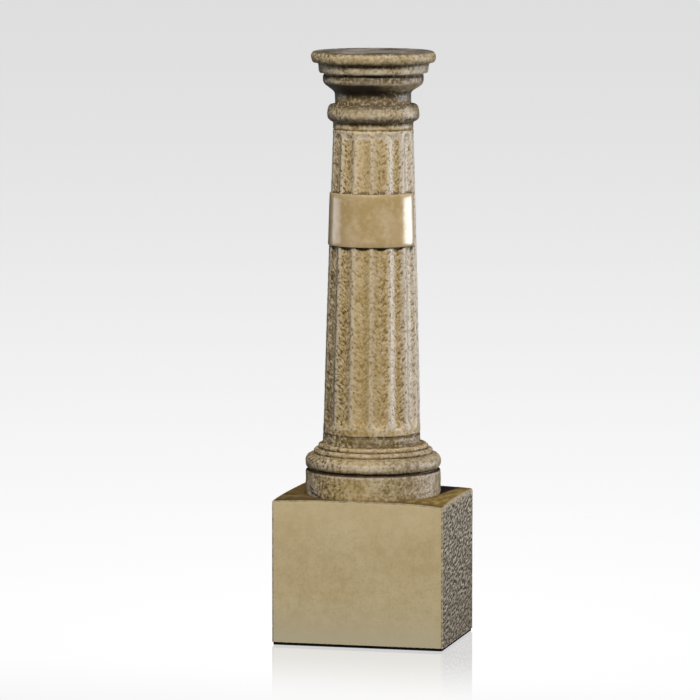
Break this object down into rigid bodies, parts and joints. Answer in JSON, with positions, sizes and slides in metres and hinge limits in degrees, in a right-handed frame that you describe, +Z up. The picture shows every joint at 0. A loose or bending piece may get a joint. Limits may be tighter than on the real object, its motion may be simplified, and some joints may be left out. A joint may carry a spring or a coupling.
{
  "type": "doric column",
  "caption": "Small cast-stone doric column with a fluted shaft, a blank band panel and a round abacus, on a rectangular block plinth with a felt pad under it.",
  "frame": {"origin": "centre of the felt pad's underside, on the surface that the column stands on", "axes": "+Z up along the column's axis, -Y towards the plinth's smooth front and the band panel, +X to the right seen from the front"},
  "size_m": [0.0904, 0.0708, 0.305],
  "materials": {
    "column_stone": "stone-coloured cast resin, stippled, patinated ochre in the hollows and pale on the edges",
    "plinth_stone": "stone-coloured cast resin, honed smooth in front, coarse and pitted at the sides and back",
    "black_felt": "thin black felt"
  },
  "bodies": {
    "root": {"felt_pad": "black_felt", "plinth": "plinth_stone", "column": "column_stone"}
  },
  "joints": []
}
